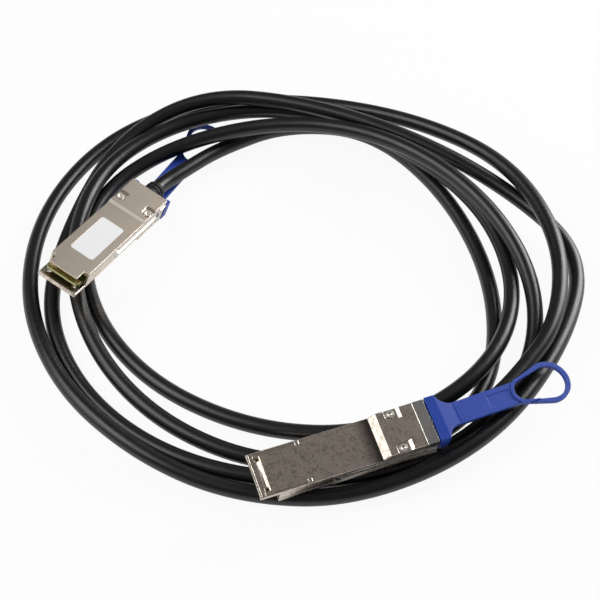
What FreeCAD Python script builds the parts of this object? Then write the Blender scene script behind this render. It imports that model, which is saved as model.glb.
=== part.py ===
import FreeCAD, Part
import math
import os

# A direct attach copper cable in a loose coil, with a pluggable connector at each end.
# Millimetres.  A connector is drawn in its own frame: x runs from the nose to the
# cable, y across, z from the label side (0) to the latch side.

# cable and the axis it leaves the connector on
cable_diameter = 6.8
cable_axis_z = 4.6

# die-cast body
plug_length = 72.0
plug_width = 18.35
plug_height = 8.5
cover_thickness = 1.9
nose_length = 7.5
head_start = 49.3
head_ramp = 2.9
head_rise = 2.3
head_back_rise = 0.8
head_foot_radius = 6.0
roof_thickness = 1.1
side_wall = 0.95
rear_wall = 3.6
body_edge_radius = 0.35

# nose tray
nose_rim_height = 1.9
nose_rim_width = 0.55
nose_floor = 0.55
nose_pocket_depth = 0.9
nose_lip = 0.8
nose_pocket_length = 1.5
nose_ramp_length = 2.4
nose_ramp_half = 7.2
nose_window = 1.5
nose_window_y = 6.2
rim_groove_width = 0.5
rim_groove_depth = 0.5
rim_groove_end = 19.3
rim_block = 1.5
stop_height = 0.2

# cover
cover_start = 2.0
cover_tongue = 0.8
cover_notch_length = 5.4
cover_notch_width = 2.4
label_length = 26.0
label_width = 11.2
label_thickness = 0.15
label_inset = 0.1
label_start = 15.2
label_corner = 1.4

# printed circuit card and its contacts
cavity_back_gap = 6.0
card_start = 2.6
card_length = 36.4
card_thickness = 1.0
card_side_gap = 0.2
card_corner = 0.9
card_ledge_start = 12.0
card_ledge_width = 1.1
contact_count = 19
contact_pitch = 0.8
contact_width = 0.55
contact_length = 3.4
contact_thickness = 0.06
contact_inset = 0.45

# insulated cores between the card and the cable
core_diameter = 1.3
core_pitch = 1.6
core_rows = 4
core_on_card = 4.0

# latch slider and the channel it runs in
channel_start = 29.2
channel_depth = 1.05
channel_bottom = 3.0
channel_height = 3.4
channel_wall = 0.7
arm_thickness = 0.5
arm_clearance = 0.15
arm_front_gap = 0.6
wedge_length = 3.4
wedge_reach = 0.35
wedge_root = 0.05
wedge_slope = 0.3
arm_tail = 4.0
bridge_height = 0.8
bridge_margin = 0.5
latch_travel = 2.5

# retaining band round the back of the body
band_width = 4.6
band_thickness = 0.3
band_foot = 0.5
band_leg_bottom = 2.2

# swaged studs
stud_x = 57.9
stud_inset = 1.95
stud_radius = 0.65
stud_head_radius = 1.55
stud_head_height = 0.45
stud_dimple = 1.0
stud_dimple_depth = 0.7
recess_length = 5.2
recess_width = 4.4
recess_depth = 0.7
recess_lead = 2.5
recess_ramp = 1.3
recess_corner = 1.9
boss_margin = 0.8

# strain relief
boot_length = 8.0
boot_root_radius = 4.8
boot_tip_radius = 4.3
boot_neck_radius = 3.6
boot_flange_radius = 4.1
boot_flange = 1.5
boot_groove = 0.9
boot_groove_depth = 0.55
boot_groove_places = (0.42, 0.72)
boot_fit = 0.05
ferrule_length = 8.0
ferrule_wall = 0.4
ferrule_room = 0.35

# pull tab
yoke_gap = 0.6
yoke_width = 18.8
yoke_straight = 4.0
yoke_flank = 6.0
yoke_height = 11.2
yoke_cheek = 1.9
yoke_cheek_bottom = 2.7
yoke_cheek_foot = 4.0
yoke_cheek_reach = 2.0
yoke_plate_lap = 0.5
yoke_clearance = 0.4
strap_width = 9.4
strap_thickness = 1.6
strap_cable_gap = 0.4
strap_bend_x = 12.0
strap_length = 26.0
loop_length = 23.8
loop_radius = 8.9
loop_ring = 1.9
loop_throat_radius = 4.4
rim_width = 1.4
rim_height = 0.45
strap_pad = 0.15
pad_length = 10.0
pad_margin = 3.0
pad_side_margin = 2.2
rim_reach = 10.0
rim_clearance = 0.4
strap_lap = 1.0
loop_neck = 0.5

# where the two connectors lie: nose point, then yaw, pitch, roll in degrees, and how far
# the strap bends towards the label side and turns sideways
connectors = {
    "a": ((-97.03, -10.15, 32.9), (64.2, 13.9, 196.4), 13.2, 0.0),
    "b": ((-18.0, -97.0, 9.2), (19.8, -0.5, 11.9), 6.4, 4.0),
}

# the cable's route between the two boots
cable_route = [
    (-53.9, 73.0, 7.4), (-37.9, 90.0, 5.2), (-6.4, 108.5, 3.6), (34.6, 104.0, 3.6),
    (67.6, 62.5, 3.6), (84.6, 5.5, 3.6), (77.6, -50.5, 3.6), (45.1, -78.5, 3.6),
    (-8.9, -86.5, 3.6), (-55.9, -66.0, 4.8), (-87.9, -27.5, 8.0), (-99.9, 22.5, 11.8),
    (-90.4, 72.0, 12.8), (-52.4, 106.0, 10.8), (-2.4, 112.5, 11.2), (44.1, 89.5, 11.4),
    (82.1, 49.5, 10.2), (93.1, -2.0, 10.6), (75.6, -46.0, 11.6), (32.1, -71.0, 5.2),
    (-18.4, -68.5, 3.4), (-65.9, -42.0, 3.6), (-93.9, 4.0, 3.6), (-94.4, 56.5, 5.4),
    (-59.9, 88.0, 9.8), (-7.4, 97.5, 16.8), (40.6, 82.0, 22.0), (80.1, 45.5, 21.4),
    (100.6, -0.5, 14.4), (93.6, -44.0, 5.2), (57.6, -81.0, 3.2), (5.1, -94.0, 3.6),
    (-46.9, -84.0, 3.6), (-86.4, -54.0, 3.6), (-108.4, -8.0, 3.6), (-102.4, 45.0, 3.6),
    (-83.9, 93.0, 8.8), (-45.4, 115.5, 16.8), (2.1, 105.0, 20.8), (53.6, 82.5, 19.4),
    (96.6, 56.0, 10.6), (123.6, 22.0, 6.8), (109.1, -28.5, 9.0), (73.1, -78.0, 11.4),
    (22.1, -100.0, 3.6), (-24.4, -98.0, 3.4), (-62.9, -82.0, 8.0), (-97.4, -49.0, 8.8),
    (-117.4, 0.0, 6.4), (-114.9, 54.0, 4.4), (-89.4, 100.0, 3.6), (-46.4, 124.0, 3.6),
    (5.1, 123.5, 5.2), (55.1, 104.0, 10.8), (94.1, 69.0, 17.6), (111.6, 22.0, 19.0),
    (106.6, -22.5, 16.4), (85.1, -51.0, 13.2), (71.6, -64.0, 12.6),
]
exit_run_a = 5.0
exit_run_b = 6.0
# share of the shorter run that the arc at each corner takes
bend_share = 0.45

# worked out
half_width = plug_width / 2
head_top = plug_height + head_rise
cavity_top = plug_height - roof_thickness
card_bottom = cable_axis_z - card_thickness / 2
card_top = cable_axis_z + card_thickness / 2
card_half = half_width - side_wall - card_side_gap
channel_face = half_width - channel_depth
channel_top = channel_bottom + channel_height
inner_half = channel_face - channel_wall
rear_wall_x = plug_length - rear_wall
flange_front = rear_wall_x - boot_flange
arm_outer = channel_face + arm_clearance + arm_thickness
stud_y = half_width - stud_inset
yoke_start = plug_length + yoke_gap
strap_inner = cable_axis_z + cable_diameter / 2 + strap_cable_gap
strap_outer = strap_inner + strap_thickness
strap_bend = plug_length + strap_bend_x
strap_end = strap_bend + strap_length
loop_centre = strap_end + loop_length - loop_radius


def block(x0, x1, y0, y1, z0, z1):
    return Part.makeBox(x1 - x0, y1 - y0, z1 - z0, FreeCAD.Vector(x0, y0, z0))


def both_sides(shape):
    """A shape and its mirror image across the connector's middle plane."""
    mirror = shape.mirror(FreeCAD.Vector(0, 0, 0), FreeCAD.Vector(0, 1, 0))
    return [shape, mirror]


def side_profile(points, y0, y1):
    """Prism of an outline given as (x, z) points, from y0 to y1."""
    corners = [FreeCAD.Vector(x, y0, z) for x, z in points]
    face = Part.Face(Part.makePolygon(corners + corners[:1]))
    return face.extrude(FreeCAD.Vector(0, y1 - y0, 0))


def plan_profile(points, z0, z1):
    """Prism of an outline given as (x, y) points, from z0 to z1."""
    corners = [FreeCAD.Vector(x, y, z0) for x, y in points]
    face = Part.Face(Part.makePolygon(corners + corners[:1]))
    return face.extrude(FreeCAD.Vector(0, 0, z1 - z0))


def rod(x0, x1, radius, y=0.0, z=cable_axis_z):
    return Part.makeCylinder(radius, x1 - x0, FreeCAD.Vector(x0, y, z), FreeCAD.Vector(1, 0, 0))


def upright_pin(x, y, z0, z1, radius):
    return Part.makeCylinder(radius, z1 - z0, FreeCAD.Vector(x, y, z0))


def rounded(shape, radius, direction):
    """Fillet the straight edges that run along one direction."""
    edges = []
    for edge in shape.Edges:
        if edge.Curve.TypeId != "Part::GeomLine":
            continue
        if abs(abs(edge.tangentAt(edge.FirstParameter).dot(direction)) - 1) < 1e-6:
            edges.append(edge)
    return shape.makeFillet(radius, edges)


def stud_recess(face_z, inward):
    """Sink round a stud, open at the side of the body, with a ramp at its rear."""
    floor = face_z + inward * recess_depth
    x0 = stud_x - recess_lead
    x1 = x0 + recess_length
    y0 = half_width - recess_width
    sink = block(x0, x1, y0, half_width, min(face_z, floor), max(face_z, floor))
    corner = [edge for edge in sink.Edges
              if max(abs(v.X - x0) + abs(v.Y - y0) for v in edge.Vertexes) < 1e-6]
    ramp = side_profile([(x1, face_z), (x1, floor), (x1 + recess_ramp, face_z)], y0, half_width)
    return sink.makeFillet(recess_corner, corner).fuse(ramp)


def ferrule_room_cut():
    """Round room for the crimp ferrule and the boot's flange, and the way out."""
    room = rod(flange_front - ferrule_length, rear_wall_x, boot_flange_radius + boot_fit)
    return room.fuse(rod(rear_wall_x, plug_length, boot_neck_radius + boot_fit))


def edges_across(shape, x, z):
    """The straight edges that run across a connector at one place of its side view."""
    return [edge for edge in shape.Edges
            if max(abs(v.X - x) + abs(v.Z - z) for v in edge.Vertexes) < 1e-6]


def nose_ramp(x0, z0):
    """Room above the hollow ramp that rises from the nose's sunk strip to the full height."""
    x1 = x0 + nose_ramp_length
    rise = plug_height - z0
    radius = (nose_ramp_length ** 2 + rise ** 2) / (2 * rise)
    turn = math.asin(nose_ramp_length / radius) / 2
    low = FreeCAD.Vector(x0, -nose_ramp_half, z0)
    middle = FreeCAD.Vector(x0 + radius * math.sin(turn), -nose_ramp_half,
                            z0 + radius * (1 - math.cos(turn)))
    high = FreeCAD.Vector(x1, -nose_ramp_half, plug_height)
    corner = FreeCAD.Vector(x0, -nose_ramp_half, plug_height)
    edges = [Part.Arc(low, middle, high).toShape(), Part.LineSegment(high, corner).toShape(),
             Part.LineSegment(corner, low).toShape()]
    return Part.Face(Part.Wire(edges)).extrude(FreeCAD.Vector(0, 2 * nose_ramp_half, 0))


def latch_side_shell():
    body = block(nose_length, plug_length, -half_width, half_width, cover_thickness, plug_height)
    head = side_profile([(head_start, plug_height), (head_start + head_ramp, head_top),
                         (plug_length, head_top), (plug_length, plug_height)],
                        -half_width, half_width)
    nose = block(0, nose_length, -half_width, half_width,
                 plug_height - nose_rim_height, plug_height)
    shell = body.fuse([head, nose]).removeSplitter()
    shell = shell.makeFillet(head_foot_radius, edges_across(shell, head_start, plug_height))
    shell = rounded(shell, body_edge_radius, FreeCAD.Vector(1, 0, 0))

    front_room = half_width - side_wall
    cuts = [block(nose_length - 0.01, channel_start - 1, -front_room, front_room,
                  cover_thickness, cavity_top),
            block(channel_start - 1.01, flange_front - cavity_back_gap, -inner_half, inner_half,
                  cover_thickness, cavity_top),
            ferrule_room_cut()]
    # the tray of the nose: hollow below, a sunk strip and a ramp above
    tray = half_width - nose_rim_width
    pocket_end = nose_lip + nose_pocket_length
    pocket_z = plug_height - nose_pocket_depth
    cuts.append(block(nose_lip / 2, nose_length, -tray, tray, plug_height - nose_rim_height,
                      pocket_z - nose_floor))
    cuts.append(block(nose_lip, pocket_end, -tray, tray, pocket_z, plug_height))
    cuts.append(nose_ramp(pocket_end, pocket_z))
    window_x = pocket_end + nose_ramp_length / 2
    for side in (-1, 1):
        cuts.append(block(window_x - nose_window / 2, window_x + nose_window / 2,
                          side * nose_window_y - nose_window / 2,
                          side * nose_window_y + nose_window / 2,
                          plug_height - nose_rim_height, plug_height))
    groove = block(pocket_end, rim_groove_end, tray - rim_groove_width, tray,
                   plug_height - rim_groove_depth, plug_height)
    channel = block(channel_start, plug_length, channel_face, half_width,
                    channel_bottom, channel_top)
    band_x = plug_length - band_width
    band_side = block(band_x, plug_length, half_width - band_thickness, half_width,
                      band_leg_bottom, head_top)
    sink = stud_recess(head_top, -1)
    for cut in (groove, channel, band_side, sink):
        cuts += both_sides(cut)
    cuts.append(block(band_x, plug_length, -half_width, half_width,
                      head_top - band_thickness, head_top))
    shell = shell.cut(cuts)

    ledge = block(card_ledge_start, channel_start - 1, card_half - card_ledge_width,
                  front_room + 0.01, card_top, cavity_top + 0.01)
    boss = upright_pin(stud_x, stud_y, cover_thickness, cavity_top + 0.01,
                       stud_radius + boss_margin)
    boss = boss.common(block(0, plug_length, 0, inner_half + 0.01, 0, head_top))
    stop = block(rim_groove_end, rim_groove_end + rim_block, tray - rim_block, tray,
                 plug_height - rim_groove_depth, plug_height + stop_height)
    added = []
    for shape in (ledge, boss, stop):
        added += both_sides(shape)
    shell = shell.fuse(added)
    holes = []
    for side in (-1, 1):
        holes.append(upright_pin(stud_x, side * stud_y, 0, head_top + 1, stud_radius))
    return shell.cut(holes).removeSplitter()


def label_side_cover():
    head = head_start + head_ramp
    plate = side_profile([(cover_start, 0), (head_start, 0), (head, -head_back_rise),
                          (plug_length, -head_back_rise), (plug_length, cover_thickness),
                          (nose_length, cover_thickness), (nose_length, cover_tongue),
                          (cover_start, cover_tongue)], -half_width, half_width)
    plate = plate.makeFillet(head_foot_radius / 3, edges_across(plate, head_start, 0))
    notch = block(cover_start, cover_start + cover_notch_length,
                  half_width - cover_notch_width, half_width, -1, cover_thickness)
    cuts = both_sides(notch) + [ferrule_room_cut(), label_pad(0, label_inset)]
    cuts += both_sides(stud_recess(-head_back_rise, 1))
    rail = block(card_ledge_start, channel_start - 1, card_half - card_ledge_width,
                 card_half, cover_thickness - 0.01, card_bottom)
    cover = plate.cut(cuts).fuse(both_sides(rail))
    holes = [upright_pin(stud_x, side * stud_y, -1, cover_thickness, stud_radius)
             for side in (-1, 1)]
    return cover.cut(holes).removeSplitter()


def label_pad(z0, z1):
    pad = block(label_start, label_start + label_length, -label_width / 2, label_width / 2, z0, z1)
    return rounded(pad, label_corner, FreeCAD.Vector(0, 0, 1))


def label():
    return label_pad(label_inset - label_thickness, label_inset)


def paddle_card():
    end = card_start + card_length
    narrow = inner_half - card_side_gap
    step = channel_start - 1 - card_side_gap
    upper = [(card_start, 0), (card_start, card_half - card_corner),
             (card_start + card_corner, card_half), (step, card_half),
             (step, narrow), (end, narrow), (end, 0)]
    lower = [(x, -y) for x, y in reversed(upper[1:-1])]
    return plan_profile(upper + lower, card_bottom, card_top)


def edge_contacts():
    pads = []
    x0 = card_start + contact_inset
    for i in range(contact_count):
        y = (i - (contact_count - 1) / 2) * contact_pitch
        for z in (card_bottom - contact_thickness, card_top):
            pads.append(block(x0, x0 + contact_length, y - contact_width / 2,
                              y + contact_width / 2, z, z + contact_thickness))
    return Part.makeCompound(pads)


def cable_cores():
    x0 = card_start + card_length - core_on_card
    cores = []
    for i in range(core_rows):
        y = (i - (core_rows - 1) / 2) * core_pitch
        for z in (card_bottom - core_diameter / 2, card_top + core_diameter / 2):
            cores.append(rod(x0, flange_front, core_diameter / 2, y, z))
    return Part.makeCompound(cores)


def crimp_ferrule():
    outer = boot_flange_radius + boot_fit - ferrule_room
    start = flange_front - ferrule_length
    return rod(start, flange_front, outer).cut(rod(start, flange_front, outer - ferrule_wall))


def strain_relief_boot():
    end = plug_length + boot_length
    outline = [(flange_front, 0), (flange_front, boot_flange_radius),
               (rear_wall_x, boot_flange_radius), (rear_wall_x, boot_neck_radius),
               (plug_length, boot_neck_radius), (plug_length, boot_root_radius)]
    slope = (boot_root_radius - boot_tip_radius) / boot_length
    for share in boot_groove_places:
        x = plug_length + share * boot_length
        radius = boot_root_radius - slope * (x - plug_length)
        outline += [(x - boot_groove / 2, radius), (x - boot_groove / 2, radius - boot_groove_depth),
                    (x + boot_groove / 2, radius - boot_groove_depth), (x + boot_groove / 2, radius)]
    outline += [(end, boot_tip_radius), (end, 0)]
    corners = [FreeCAD.Vector(x, 0, cable_axis_z + r) for x, r in outline]
    face = Part.Face(Part.makePolygon(corners + corners[:1]))
    axis = FreeCAD.Vector(0, 0, cable_axis_z)
    return face.revolve(axis, FreeCAD.Vector(1, 0, 0), 360)


def latch_slider():
    """Two arms with wedge tips, joined by a bridge that the pull tab is moulded round."""
    start = channel_start + arm_front_gap
    tail = plug_length + arm_tail
    low = channel_bottom + arm_clearance
    high = channel_top - arm_clearance
    inner = arm_outer - arm_thickness
    arm = block(start, tail, inner, arm_outer, low, high)
    root = arm_outer - wedge_root
    tip = half_width + wedge_reach
    slope = wedge_length * wedge_slope
    wedge = plan_profile([(start, root), (start + wedge_length, root),
                          (start + wedge_length - slope, tip), (start + slope, tip)], low, high)
    leg = block(tail - arm_thickness, tail, inner - bridge_height, arm_outer, low,
                yoke_height - bridge_margin)
    bridge = block(tail - arm_thickness, tail, -inner, inner,
                   yoke_height - bridge_margin - bridge_height, yoke_height - bridge_margin)
    pieces = both_sides(arm.fuse([wedge, leg]))
    return pieces[0].fuse([pieces[1], bridge]).removeSplitter()


def retaining_band():
    x0 = plug_length - band_width
    inner = half_width - band_thickness
    top = block(x0, plug_length, -half_width, half_width, head_top - band_thickness, head_top)
    leg = block(x0, plug_length, inner, half_width, band_leg_bottom, head_top)
    foot = block(x0, plug_length, inner, half_width + band_foot, band_leg_bottom,
                 band_leg_bottom + band_thickness)
    return top.fuse(both_sides(leg.fuse(foot))).removeSplitter()


def swaged_studs():
    studs = []
    for side in (-1, 1):
        y = side * stud_y
        low = -head_back_rise + recess_depth
        high = head_top - recess_depth
        pin = upright_pin(stud_x, y, low, high, stud_radius)
        top = upright_pin(stud_x, y, high, high + stud_head_height, stud_head_radius)
        base = upright_pin(stud_x, y, low - stud_head_height, low, stud_head_radius)
        stud = pin.fuse([top, base])
        dimples = []
        for z, way in ((high + stud_head_height, -1), (low - stud_head_height, 1)):
            dimples.append(Part.makeCone(stud_dimple, 0, stud_dimple_depth,
                                         FreeCAD.Vector(stud_x, y, z), FreeCAD.Vector(0, 0, way)))
        studs.append(stud.cut(dimples).removeSplitter())
    return Part.makeCompound(studs)


def yoke():
    """The part of the tab that grips the slider: plate above the boot, two cheeks."""
    half = yoke_width / 2
    strap_half = strap_width / 2
    straight = yoke_start + yoke_straight
    end = straight + yoke_flank
    plate = side_profile([(yoke_start, strap_inner), (yoke_start, yoke_height),
                          (straight, yoke_height), (end, strap_outer), (strap_bend, strap_outer),
                          (strap_bend, strap_inner)], -half, half)
    # concave flanks from the full width down to the strap
    waist = half - strap_half
    radius = (yoke_flank ** 2 + waist ** 2) / (2 * waist)
    flank = Part.makeCylinder(radius, yoke_height + 2, FreeCAD.Vector(end, strap_half + radius, -1))
    corner = block(straight, strap_bend, strap_half, half + 1, -1, yoke_height + 1)
    beside = block(end, strap_bend, strap_half, half + 1, -1, yoke_height + 1)
    plate = plate.cut(both_sides(flank.common(corner).fuse(beside)))
    cheek_top = yoke_height - yoke_plate_lap
    cheek = side_profile([(yoke_start, cheek_top), (yoke_start, yoke_cheek_bottom),
                          (yoke_start + yoke_cheek_foot, yoke_cheek_bottom),
                          (straight + yoke_cheek_reach, strap_inner), (straight, cheek_top)],
                         half - yoke_cheek, half)
    cheek = cheek.cut(flank.common(corner))
    shape = plate.fuse(both_sides(cheek)).removeSplitter()
    room_start = yoke_start - 1
    room_length = boot_length + latch_travel + 1
    room = Part.makeCone(boot_root_radius + yoke_clearance, boot_tip_radius + yoke_clearance,
                         room_length, FreeCAD.Vector(room_start, 0, cable_axis_z),
                         FreeCAD.Vector(1, 0, 0))
    return shape.cut(room)


def teardrop(throat_x, throat_radius, end_radius, z0, z1):
    """Outline of two unequal circles and their common tangents."""
    gap = loop_centre - throat_x
    lean = math.asin((end_radius - throat_radius) / gap)
    sine, cosine = math.sin(lean), math.cos(lean)
    p1 = FreeCAD.Vector(throat_x - throat_radius * sine, throat_radius * cosine, z0)
    p2 = FreeCAD.Vector(loop_centre - end_radius * sine, end_radius * cosine, z0)
    p3 = FreeCAD.Vector(p2.x, -p2.y, z0)
    p4 = FreeCAD.Vector(p1.x, -p1.y, z0)
    far = FreeCAD.Vector(loop_centre + end_radius, 0, z0)
    near = FreeCAD.Vector(throat_x - throat_radius, 0, z0)
    edges = [Part.LineSegment(p1, p2).toShape(), Part.Arc(p2, far, p3).toShape(),
             Part.LineSegment(p3, p4).toShape(), Part.Arc(p4, near, p1).toShape()]
    return Part.Face(Part.Wire(edges)).extrude(FreeCAD.Vector(0, 0, z1 - z0))


def strap_and_loop():
    half = strap_width / 2
    throat_x = strap_end + loop_throat_radius - loop_ring / 2
    strap = block(strap_bend - strap_lap, strap_end + 2 * strap_lap, -half, half,
                  strap_inner, strap_outer)
    outer = teardrop(strap_end + loop_neck, half, loop_radius, strap_inner, strap_outer)
    inner_end = loop_radius - loop_ring
    hole = teardrop(throat_x, loop_throat_radius, inner_end, strap_inner - 1, strap_outer + 1)
    pad_end = strap_end - pad_margin
    pad = block(pad_end - pad_length, pad_end, -half + pad_side_margin, half - pad_side_margin,
                strap_outer - strap_pad, strap_outer)
    rim_outer = teardrop(throat_x, loop_throat_radius + rim_width, inner_end + rim_clearance,
                         strap_inner, strap_outer + rim_height)
    rim = rim_outer.common(block(strap_end - rim_reach, throat_x + loop_throat_radius,
                                 -half - 1, half + 1, strap_inner, strap_outer + rim_height))
    return strap.fuse([outer, rim]).cut([hole, pad]).removeSplitter()


def pull_tab(bend, turn):
    strap = strap_and_loop()
    pivot = FreeCAD.Vector(strap_bend, 0, strap_inner)
    strap.rotate(pivot, FreeCAD.Vector(0, 1, 0), bend)
    strap.rotate(pivot, FreeCAD.Vector(0, 0, 1), turn)
    tab = yoke().fuse(strap).removeSplitter()
    return tab.cut(latch_slider())


def cable(placements):
    """Round cable along straight runs joined by tangent arcs."""
    exits = []
    for name, run in (("a", exit_run_a), ("b", exit_run_b)):
        place = placements[name]
        end = plug_length + boot_length
        exits.append([place.multVec(FreeCAD.Vector(x, 0, cable_axis_z)) for x in (end, end + run)])
    points = exits[0] + [FreeCAD.Vector(*p) for p in cable_route] + [exits[1][1], exits[1][0]]
    edges = []
    radii = []
    last = points[0]
    for before, here, after in zip(points, points[1:], points[2:]):
        back = before - here
        ahead = after - here
        turn = math.pi - back.getAngle(ahead)
        shorter = min(back.Length, ahead.Length)
        reach = bend_share * shorter
        radius = reach / math.tan(turn / 2)
        radii.append(radius)
        start = here + back.normalize() * reach
        stop = here + ahead.normalize() * reach
        inward = (back + ahead).normalize()
        centre = here + inward * (radius / math.cos(turn / 2))
        middle = centre - inward * radius
        edges.append(Part.LineSegment(last, start).toShape())
        edges.append(Part.Arc(start, middle, stop).toShape())
        last = stop
    edges.append(Part.LineSegment(last, points[-1]).toShape())
    path = Part.Wire(edges)
    circle = Part.makeCircle(cable_diameter / 2, points[0], points[1] - points[0])
    solid = path.makePipe(Part.Face(Part.Wire(circle)))
    section = math.pi * cable_diameter ** 2 / 4
    print("cable length", round(path.Length), "volume over section times length",
          round(solid.Volume / (section * path.Length), 4), "least radii",
          [round(r) for r in sorted(radii)[:5]])
    return solid


def placement(name):
    origin, angles, bend, turn = connectors[name]
    return FreeCAD.Placement(FreeCAD.Vector(*origin), FreeCAD.Rotation(*angles))


def main():
    os.makedirs("parts", exist_ok=True)
    placements = {name: placement(name) for name in connectors}
    for name in sorted(connectors):
        origin, angles, bend, turn = connectors[name]
        pieces = {
            "latch_side_shell": latch_side_shell(),
            "label_side_cover": label_side_cover(),
            "label": label(),
            "paddle_card": paddle_card(),
            "edge_contacts": edge_contacts(),
            "cable_cores": cable_cores(),
            "crimp_ferrule": crimp_ferrule(),
            "strain_relief_boot": strain_relief_boot(),
            "latch_slider": latch_slider(),
            "retaining_band": retaining_band(),
            "swaged_studs": swaged_studs(),
            "pull_tab": pull_tab(bend, turn),
        }
        for piece, shape in pieces.items():
            shape = shape.copy()
            shape.Placement = placements[name].multiply(shape.Placement)
            print(piece, name, len(shape.Solids), shape.isValid(), round(shape.Volume, 1),
                  [round(v, 1) for v in (shape.BoundBox.XMin, shape.BoundBox.YMin,
                                         shape.BoundBox.ZMin, shape.BoundBox.XMax,
                                         shape.BoundBox.YMax, shape.BoundBox.ZMax)])
            shape.exportStep("parts/" + piece + "_" + name + ".step")
    tube = cable(placements)
    print("cable", len(tube.Solids), tube.isValid(), tube.BoundBox)
    tube.exportStep("parts/cable.step")


main()
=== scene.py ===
import math

import bmesh
import bpy
from mathutils import Euler, Matrix, Vector


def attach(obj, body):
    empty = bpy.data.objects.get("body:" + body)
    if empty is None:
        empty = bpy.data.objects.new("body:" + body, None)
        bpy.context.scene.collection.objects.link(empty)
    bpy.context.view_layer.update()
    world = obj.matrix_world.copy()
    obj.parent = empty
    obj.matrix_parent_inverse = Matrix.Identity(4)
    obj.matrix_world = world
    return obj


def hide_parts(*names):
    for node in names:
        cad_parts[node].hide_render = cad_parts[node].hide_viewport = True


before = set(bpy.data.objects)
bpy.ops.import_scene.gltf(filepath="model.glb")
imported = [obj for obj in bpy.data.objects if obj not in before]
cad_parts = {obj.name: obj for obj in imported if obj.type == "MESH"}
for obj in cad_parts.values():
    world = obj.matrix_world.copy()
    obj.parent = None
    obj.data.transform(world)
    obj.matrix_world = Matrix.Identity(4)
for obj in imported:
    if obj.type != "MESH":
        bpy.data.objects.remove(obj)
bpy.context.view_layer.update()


# --- The cable ---------------------------------------------------------------------------
# One round shielded cable of four pairs under a black extruded jacket, semi-matte, with the
# faint long waves that extrusion and coiling leave. It runs from boot to boot in four turns.

cable_diameter = 0.0068
boot_mouth_a = (-0.06486, 0.05938, 0.0094)
boot_mouth_b = (0.05755, -0.07081, 0.0144)

# The middle of the cable, from the left connector's boot to the front one's.
cable_route = [
    boot_mouth_a, (-0.06275, 0.06375, 0.0082),
    (-0.0539, 0.0730, 0.0074), (-0.0379, 0.0900, 0.0052), (-0.0064, 0.1085, 0.0036),
    (0.0346, 0.1040, 0.0036), (0.0676, 0.0625, 0.0036), (0.0846, 0.0055, 0.0036),
    (0.0776, -0.0505, 0.0036), (0.0451, -0.0785, 0.0036), (-0.0089, -0.0865, 0.0036),
    (-0.0559, -0.0660, 0.0048), (-0.0879, -0.0275, 0.0080), (-0.0999, 0.0225, 0.0118),
    (-0.0904, 0.0720, 0.0128), (-0.0524, 0.1060, 0.0108), (-0.0024, 0.1125, 0.0112),
    (0.0441, 0.0895, 0.0114), (0.0821, 0.0495, 0.0102), (0.0931, -0.0020, 0.0106),
    (0.0756, -0.0460, 0.0116), (0.0321, -0.0710, 0.0052), (-0.0184, -0.0685, 0.0034),
    (-0.0659, -0.0420, 0.0036), (-0.0939, 0.0040, 0.0036), (-0.0944, 0.0565, 0.0054),
    (-0.0599, 0.0880, 0.0098), (-0.0074, 0.0975, 0.0168), (0.0406, 0.0820, 0.0220),
    (0.0801, 0.0455, 0.0214), (0.1006, -0.0005, 0.0144), (0.0936, -0.0440, 0.0052),
    (0.0576, -0.0810, 0.0032), (0.0051, -0.0940, 0.0036), (-0.0469, -0.0840, 0.0036),
    (-0.0864, -0.0540, 0.0036), (-0.1084, -0.0080, 0.0036), (-0.1024, 0.0450, 0.0036),
    (-0.0839, 0.0930, 0.0088), (-0.0454, 0.1155, 0.0168), (0.0021, 0.1050, 0.0208),
    (0.0536, 0.0825, 0.0194), (0.0966, 0.0560, 0.0106), (0.1236, 0.0220, 0.0068),
    (0.1091, -0.0285, 0.0090), (0.0733, -0.0785, 0.0106), (0.0221, -0.1000, 0.0036),
    (-0.0244, -0.0980, 0.0034), (-0.0629, -0.0820, 0.0080), (-0.0974, -0.0490, 0.0088),
    (-0.1174, 0.0000, 0.0064), (-0.1149, 0.0540, 0.0044), (-0.0894, 0.1000, 0.0036),
    (-0.0464, 0.1240, 0.0036), (0.0051, 0.1235, 0.0052), (0.0551, 0.1040, 0.0108),
    (0.0941, 0.0690, 0.0176), (0.1116, 0.0220, 0.0190), (0.1066, -0.0225, 0.0164),
    (0.0851, -0.0510, 0.0132), (0.0716, -0.0640, 0.0126),
    (0.06320, -0.06878, 0.01445), boot_mouth_b,
]

line = bpy.data.curves.new("cable", "CURVE")
line.dimensions = "3D"
run = line.splines.new("NURBS")
run.points.add(len(cable_route) - 1)
for point, place in zip(run.points, cable_route):
    point.co = (*place, 1.0)
run.order_u = 3
run.use_endpoint_u = True
run.resolution_u = 14
line.bevel_depth = cable_diameter / 2
line.bevel_resolution = 7
line.use_fill_caps = True
cable = bpy.data.objects.new("twinax_cable", line)
bpy.context.scene.collection.objects.link(cable)


class Reading:
    """One node output, so that shader maths reads as plain arithmetic."""

    def __init__(self, finish, socket):
        self.finish = finish
        self.socket = socket

    def maths(self, operation, *values):
        sockets = dict(enumerate(values))
        return self.finish.node("Math", {"operation": operation}, sockets)

    def __add__(self, other):
        return self.maths("ADD", self, other)

    def __sub__(self, other):
        return self.maths("SUBTRACT", self, other)

    def __rsub__(self, other):
        return self.maths("SUBTRACT", other, self)

    def __mul__(self, other):
        return self.maths("MULTIPLY", self, other)

    def above(self, level):
        return self.maths("GREATER_THAN", self, level)

    def most(self, other):
        return self.maths("MAXIMUM", self, other)

    __radd__ = __add__
    __rmul__ = __mul__


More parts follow.
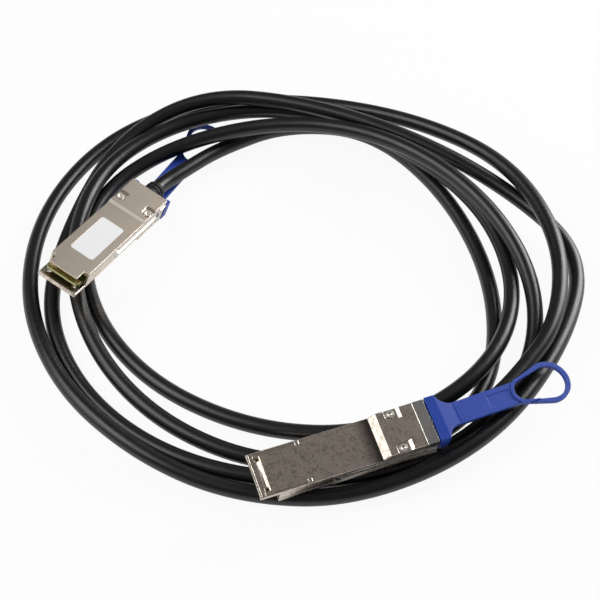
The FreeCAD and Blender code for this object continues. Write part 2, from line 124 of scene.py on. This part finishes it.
class Finish:
    """A material under construction, with its principled shader at hand."""

    def __init__(self, name, **fixed):
        self.material = bpy.data.materials.new(name)
        self.material.use_nodes = True
        self.tree = self.material.node_tree
        self.tree.nodes.clear()
        self.shader = self.tree.nodes.new("ShaderNodeBsdfPrincipled")
        self.ending = self.tree.nodes.new("ShaderNodeOutputMaterial")
        self.surface = Reading(self, self.shader.outputs[0])
        self.show(self.surface)
        for socket, value in fixed.items():
            self.shader.inputs[socket.replace("_", " ")].default_value = value

    def show(self, surface):
        self.tree.links.new(surface.socket, self.ending.inputs["Surface"])

    def node(self, kind, settings=None, sockets=None, result=0):
        made = self.tree.nodes.new("ShaderNode" + kind)
        for name, value in (settings or {}).items():
            setattr(made, name, value)
        for name, value in (sockets or {}).items():
            if isinstance(value, Reading):
                self.tree.links.new(value.socket, made.inputs[name])
            else:
                made.inputs[name].default_value = value
        return Reading(self, made.outputs[result])

    def place(self, lay=None, stretch=(1.0, 1.0, 1.0)):
        """A piece's own coordinates, or those of the connector that it belongs to."""
        own = self.node("TexCoord", result="Object")
        lay = lay or Matrix.Identity(4)
        sockets = {"Vector": own, "Scale": stretch, "Location": lay.to_translation(),
                   "Rotation": lay.to_euler()}
        return self.node("Mapping", {"vector_type": "TEXTURE"}, sockets)

    def along(self, lay, axis):
        """How far a point lies along one axis of a connector, in metres."""
        return self.node("SeparateXYZ", None, {"Vector": self.place(lay)}, result=axis)

    def grain(self, scale, detail=2.0, roughness=0.5, where=None):
        sockets = {"Scale": scale, "Detail": detail, "Roughness": roughness}
        sockets["Vector"] = where or self.place()
        return self.node("TexNoise", None, sockets)

    def spread(self, value, low, high, to_low=0.0, to_high=1.0):
        sockets = {"Value": value, 1: low, 2: high, 3: to_low, 4: to_high}
        return self.node("MapRange", {"clamp": True}, sockets)

    def vary(self, grain, least, most):
        """A grain mostly lies between 0.3 and 0.7, and this stretches it to another range."""
        return self.spread(grain, 0.3, 0.7, least, most)

    def rounded(self, radius, samples):
        return self.node("Bevel", {"samples": samples}, {"Radius": radius})

    def blend(self, share, first, second):
        tones = {0: share, 6: (*first, 1.0) if isinstance(first, tuple) else first,
                 7: (*second, 1.0) if isinstance(second, tuple) else second}
        return self.node("Mix", {"data_type": "RGBA"}, tones, result=2)

    def edges(self, radius):
        """Near 1 on sharp outer edges, where handling brightens a finish, and 0 on the flats."""
        soft = self.rounded(radius, 8)
        sharp = self.node("NewGeometry", result="Normal")
        facing = self.node("VectorMath", {"operation": "DOT_PRODUCT"}, {0: soft, 1: sharp},
                           result="Value")
        return self.spread(facing, 0.995, 0.86)

    def relief(self, height, distance, strength=1.0, rounding=None):
        sockets = {"Height": height, "Distance": distance, "Strength": strength}
        if rounding:
            sockets["Normal"] = self.rounded(rounding, 6)
        return self.node("Bump", None, sockets)

    def set(self, **readings):
        for name, value in readings.items():
            self.tree.links.new(value.socket, self.shader.inputs[name.replace("_", " ")])
        return self

    def coat(self, *names):
        """Puts the finish on CAD nodes that keep their own shape."""
        for name in names:
            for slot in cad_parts[name].material_slots:
                slot.material = self.material


jacket = Finish("black_cable_jacket", Specular_IOR_Level=0.62)
wave = jacket.grain(90.0, 2.0)
scuff = jacket.spread(jacket.grain(700.0, 3.0, 0.65), 0.56, 0.74)
pores = jacket.grain(5200.0, 2.0, 0.6)
jacket.set(
    Base_Color=jacket.blend(scuff * 0.5, (0.004, 0.004, 0.0042), (0.012, 0.012, 0.0125)),
    Roughness=jacket.vary(wave, 0.31, 0.36) + scuff * 0.06,
    Normal=jacket.relief(pores * 0.5 + wave, 0.00012, 0.35),
)
line.materials.append(jacket.material)
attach(cable, "root")
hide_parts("cable")


# --- Strain relief boots -----------------------------------------------------------------
# Short black rubber collars moulded on the cable behind each shell, with two grip grooves.
# They are softer and duller than the jacket.

rubber = Finish("boot_rubber", Specular_IOR_Level=0.35)
dust = rubber.spread(rubber.grain(1500.0, 3.0), 0.45, 0.7)
rubber.set(
    Base_Color=rubber.blend(dust, (0.010, 0.010, 0.011), (0.024, 0.023, 0.024)),
    Roughness=dust * 0.12 + 0.5,
    Normal=rubber.relief(rubber.grain(4000.0), 0.00008, 0.4, 0.0003),
)
rubber.coat("strain_relief_boot_a", "strain_relief_boot_b")


# --- Die-cast shells and covers ----------------------------------------------------------
# Each plug is a shell and a cover cast in zinc alloy and nickel plated, which keeps the
# fine grain of the casting and wears bright on its edges. The head meets the body in a
# crisp crease on the latch side and in a small hollow step on the other.

plug_height = 0.0085
head_start = 0.0493
head_end = 0.0522
head_rise = 0.0023
head_back_rise = 0.0008
foot_radius = 0.006
step_start = 0.0511
step_share = 0.2
face_slack = 0.0004
hair = 0.0001
# Painted shade: the latch-side flat darkens to this tone just before the head, in place of the head's
# shadow.
painted_shade_start = head_start - 0.0065
painted_shade_full = head_start - 0.0012
painted_shade_tone = (0.09, 0.078, 0.066)
# Tone of edges worn bright, and also the painted highlight on the label side's step.
worn_and_painted_highlight_nickel = (0.86, 0.80, 0.715)

connector_lay = {}
for side, nose, (yaw, pitch, roll) in (
        ("a", (-0.09703, -0.01015, 0.0329), (64.2, 13.9, 196.4)),
        ("b", (-0.018, -0.097, 0.0092), (19.8, -0.5, 11.9))):
    turn = Euler((math.radians(roll), math.radians(pitch), math.radians(yaw)))
    connector_lay[side] = Matrix.Translation(nose) @ turn.to_matrix().to_4x4()


def crisp_foot(x, z):
    """Takes the soft foot of the head's front slope down to a sharp crease."""
    slope = math.atan2(head_rise, head_end - head_start)
    run = foot_radius * math.tan(slope / 2)
    start = head_start - run
    end = head_start + run * math.cos(slope)
    if not start < x < end or z < plug_height - face_slack:
        return z
    hollow = plug_height + foot_radius - math.sqrt(foot_radius ** 2 - (x - start) ** 2)
    crease = plug_height + max(0.0, x - head_start) * math.tan(slope)
    return z + crease - hollow


def hollow_step(x, z):
    """Turns the label side's even slope into a faint rise that ends in a steep step."""
    if not head_start - 10 * hair < x < head_end - hair / 100 or z > hair:
        return z
    if x <= step_start:
        return -head_back_rise * step_share * max(0.0, x - head_start) / (step_start - head_start)
    share = (x - step_start) / (head_end - step_start)
    return -head_back_rise * (step_share + (1.0 - step_share) * share)


def cast_piece(name, side, node, sections, shape):
    """The node's surface joined into one skin, cut across at some places and reshaped."""
    lay = connector_lay[side]
    skin = bmesh.new()
    skin.from_mesh(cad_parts[node].data)
    bmesh.ops.remove_doubles(skin, verts=skin.verts, dist=1e-6)
    bmesh.ops.transform(skin, matrix=lay.inverted(), verts=skin.verts)
    for x in sections:
        bmesh.ops.bisect_plane(skin, geom=skin.verts[:] + skin.edges[:] + skin.faces[:],
                               plane_co=(x, 0.0, 0.0), plane_no=(1.0, 0.0, 0.0))
    for corner in skin.verts:
        corner.co.z = shape(corner.co.x, corner.co.z)
    bmesh.ops.transform(skin, matrix=lay, verts=skin.verts)
    mesh = bpy.data.meshes.new(name)
    skin.to_mesh(mesh)
    skin.free()
    piece = bpy.data.objects.new(name, mesh)
    bpy.context.scene.collection.objects.link(piece)
    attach(piece, "root")
    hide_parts(node)
    return piece


def cast_nickel(name, lay, pale, dull, grain_depth, smooth, painted_shade_strength):
    """Nickel plate over cast grain, worn on edges; painted shade before the head, painted step
    highlight.
    """
    finish = Finish(name, Metallic=1.0)
    worn = finish.edges(0.0004)
    cloud = finish.grain(320.0, 3.0)
    speck = finish.grain(900.0, 3.0, 0.6)
    dark = finish.spread(speck, 0.42, 0.58) * finish.spread(cloud, 0.35, 0.65, 0.35, 1.0)
    x = finish.along(lay, 0)
    z = finish.along(lay, 2)
    # Painted shade on the flat before the head's slope, standing in for the shadow that the head
    # casts.
    before_head = finish.spread(x, painted_shade_start, painted_shade_full)
    painted_shade_mask = before_head * (1.0 - x.above(head_start + hair)) * z.above(plug_height - face_slack - hair)
    # Painted highlight: the label side's step is lightened towards the worn tone and made rougher.
    step = x.above(step_start) * (1.0 - x.above(head_end + 2 * hair)) * (1.0 - z.above(hair))
    wear_and_painted_highlight = worn.most(step * 0.9)
    plate = finish.blend(dark, pale, dull)
    shaded = finish.blend(painted_shade_mask * painted_shade_strength, plate, painted_shade_tone)
    finish.set(
        Base_Color=finish.blend(wear_and_painted_highlight, shaded, worn_and_painted_highlight_nickel),
        Roughness=finish.vary(speck, smooth, smooth + 0.06) + step * 0.2,
        Normal=finish.relief((speck + cloud * 0.8) * (1.0 - worn), 0.00006, grain_depth, 0.0003),
    )
    return finish


for side in "ab":
    lay = connector_lay[side]
    shell = cast_piece("cast_shell_" + side, side, "latch_side_shell_" + side,
                       (head_start,), crisp_foot)
    # The shell takes nearly full painted shade before its head, and the cover takes none.
    shell_nickel = cast_nickel("speckled_cast_nickel_" + side, lay, pale=(0.80, 0.69, 0.59),
                               dull=(0.40, 0.34, 0.29), grain_depth=0.12, smooth=0.26,
                               painted_shade_strength=0.95)
    shell.data.materials.append(shell_nickel.material)
    cover = cast_piece("cast_cover_" + side, side, "label_side_cover_" + side,
                       (head_start, step_start), hollow_step)
    cover_nickel = cast_nickel("smooth_cast_nickel_" + side, lay, pale=(0.62, 0.537, 0.453),
                               dull=(0.57, 0.49, 0.413), grain_depth=0.005, smooth=0.3,
                               painted_shade_strength=0.0)
    cover.data.materials.append(cover_nickel.material)


# --- Latch sliders and retaining bands ---------------------------------------------------
# Stamped steel strip, bright nickel plated. The slider's two arms run in channels along the
# shell, and the band wraps the head where the slider passes under it.

def drawn_steel(name, tone, dull, smooth):
    finish = Finish(name, Metallic=1.0)
    worn = finish.edges(0.0002)
    streak = finish.grain(700.0, 3.0, 0.6, finish.place(stretch=(1.0, 6.0, 1.0)))
    finish.set(
        Base_Color=finish.blend(worn, finish.blend(streak, tone, dull), (0.88, 0.87, 0.85)),
        Roughness=finish.vary(streak, smooth, smooth + 0.08),
        Normal=finish.relief(streak, 0.00002, 0.2, 0.00018),
    )
    return finish


slider_steel = drawn_steel("latch_slider_steel", (0.66, 0.65, 0.63), (0.54, 0.53, 0.51), 0.22)
band_steel = drawn_steel("retaining_band_steel", (0.56, 0.545, 0.53), (0.48, 0.465, 0.45), 0.26)
stud_steel = drawn_steel("stud_steel", (0.82, 0.77, 0.70), (0.68, 0.63, 0.57), 0.34)
slider_steel.coat("latch_slider_a", "latch_slider_b")
band_steel.coat("retaining_band_a", "retaining_band_b")
stud_steel.coat("swaged_studs_a", "swaged_studs_b")


# --- Paddle cards and their gold contacts ------------------------------------------------
# The plug's circuit card, glass laminate under a green solder mask that stops short of the
# cut edge, with bevelled fingers of hard gold over nickel along both faces of its front.

card_start = 0.0026
raw_edge = 0.0001

for side in "ab":
    card = Finish("green_solder_mask_" + side, Coat_Weight=0.25, Coat_Roughness=0.2)
    weave = card.node("TexWave", {"bands_direction": "X"},
                      {"Vector": card.place(connector_lay[side]), "Scale": 900.0,
                       "Distortion": 1.5, "Detail": 1.0})
    mask = card.along(connector_lay[side], 0).above(card_start + raw_edge)
    green = card.blend(weave * 0.35, (0.11, 0.17, 0.035), (0.20, 0.22, 0.06))
    card.set(
        Base_Color=card.blend(mask, (0.66, 0.64, 0.30), green),
        Roughness=card.vary(card.grain(1800.0), 0.3, 0.42),
        Normal=card.relief(weave, 0.00003, 0.25, 0.0001),
    )
    card.coat("paddle_card_" + side)

gold = Finish("contact_gold", Metallic=1.0)
wipe = gold.grain(3000.0, 2.0)
gold.set(
    Base_Color=gold.blend(wipe, (0.93, 0.74, 0.38), (0.80, 0.60, 0.26)),
    Roughness=gold.vary(wipe, 0.2, 0.3),
    Normal=gold.relief(wipe, 0.00001, 0.2, 0.00006),
)
gold.coat("edge_contacts_a", "edge_contacts_b")


# --- Cable cores and crimp ferrules ------------------------------------------------------
# Inside the shell the jacket ends in a crimped copper-alloy ferrule, and eight foamed
# cores in pale insulation go on to the card.

core = Finish("core_insulation", Roughness=0.45)
tint = core.grain(900.0)
core.set(
    Base_Color=core.blend(tint, (0.62, 0.66, 0.70), (0.50, 0.55, 0.60)),
    Normal=core.relief(core.grain(5000.0), 0.00003, 0.3),
)
core.coat("cable_cores_a", "cable_cores_b")
crimp = drawn_steel("crimp_copper", (0.72, 0.48, 0.34), (0.60, 0.38, 0.26), 0.3)
crimp.coat("crimp_ferrule_a", "crimp_ferrule_b")


# --- Labels ------------------------------------------------------------------------------
# A white polyester film label, laminated matt and left bare, stuck on a sunk pad.

film = Finish("white_label_film", Specular_IOR_Level=0.4)
fibre = film.grain(2400.0, 2.0)
film.set(
    Base_Color=film.blend(fibre * 0.5, (0.86, 0.86, 0.87), (0.80, 0.80, 0.81)),
    Roughness=film.vary(fibre, 0.38, 0.46),
    Normal=film.relief(film.grain(500.0), 0.00003, 0.3, 0.0002),
)
film.coat("label_a", "label_b")


# --- Pull tabs ---------------------------------------------------------------------------
# One moulding in blue flexible plastic: a yoke round the shell's tail, a strap that bends
# with use, and a finger loop. The mould leaves a fine satin texture.

blue = Finish("blue_tab_plastic", Specular_IOR_Level=0.3)
flow = blue.grain(60.0, 2.0)
satin = blue.grain(3800.0, 3.0, 0.6)
rubbed = blue.edges(0.0004)
tone = blue.blend(flow, (0.020, 0.060, 0.37), (0.026, 0.070, 0.42))
blue.set(
    Base_Color=blue.blend(rubbed * 0.5, tone, (0.085, 0.14, 0.56)),
    Roughness=blue.vary(satin, 0.36, 0.46),
    Normal=blue.relief(satin + flow * 2.0, 0.00006, 0.3, 0.00035),
)
blue.coat("pull_tab_a", "pull_tab_b")


# --- Floor, light and camera -------------------------------------------------------------
# A seamless white table top in a white room. A large soft light stands on the left with a
# weaker one below it, a strong one stands behind on the right, and a faint one at the back.

skin = bmesh.new()
bmesh.ops.create_grid(skin, x_segments=1, y_segments=1, size=4.0)
table_top = bpy.data.meshes.new("white_table")
skin.to_mesh(table_top)
skin.free()
floor = bpy.data.objects.new("white_table", table_top)
bpy.context.scene.collection.objects.link(floor)

seen_white = 0.93
mirrored_white = 0.72

paper = Finish("white_table_paper", Roughness=0.9, Specular_IOR_Level=0.1)
paper.set(Base_Color=paper.blend(paper.grain(3.0), (0.88, 0.88, 0.88), (0.90, 0.90, 0.90)))
seen = paper.node("LightPath", result="Is Camera Ray")
mirrored = paper.node("LightPath", result="Is Glossy Ray")
through = paper.node("LightPath", result="Is Transmission Ray")
glow = paper.node("Emission", None, {"Color": (1.0, 1.0, 1.0, 1.0), "Strength": 1.0})
share = (seen.most(through) * seen_white).most(mirrored * mirrored_white)
paper.show(paper.node("MixShader", None, {0: share, 1: paper.surface, 2: glow}))
floor.data.materials.append(paper.material)

world = bpy.data.worlds.new("white_room")
world.use_nodes = True
room = world.node_tree.nodes["Background"]
room.inputs["Color"].default_value = (1.0, 1.0, 1.0, 1.0)
room.inputs["Strength"].default_value = 0.15
bpy.context.scene.world = world

coil_middle = Vector((0.0, 0.0, 0.01))


def turn_towards(holder, target):
    holder.rotation_euler = (target - holder.location).to_track_quat("-Z", "Y").to_euler()


def soft_light(name, place, size, power):
    lamp = bpy.data.lights.new(name, "AREA")
    lamp.shape = "RECTANGLE"
    lamp.size, lamp.size_y = size
    lamp.energy = power
    holder = bpy.data.objects.new(name, lamp)
    holder.location = place
    turn_towards(holder, coil_middle)
    bpy.context.scene.collection.objects.link(holder)


soft_light("left_softbox", (-0.68, -0.03, 0.87), (0.85, 0.5), 5.2)
soft_light("low_left_panel", (-0.95, -0.12, 0.46), (0.6, 0.4), 1.3)
soft_light("right_strip", (0.82, 0.57, 0.48), (0.6, 0.9), 12.5)
soft_light("back_panel", (0.44, 1.12, 0.50), (0.5, 0.4), 0.27)

lens = bpy.data.cameras.new("camera")
lens.lens = 85.0
lens.sensor_width = 36.0
lens.clip_start = 0.01
lens.clip_end = 20.0
camera = bpy.data.objects.new("camera", lens)
camera.location = (0.0001, -0.389, 0.4665)
turn_towards(camera, Vector((0.0001, 0.0025, 0.0)))
bpy.context.scene.collection.objects.link(camera)
bpy.context.scene.camera = camera
bpy.context.scene.view_settings.view_transform = "Standard"
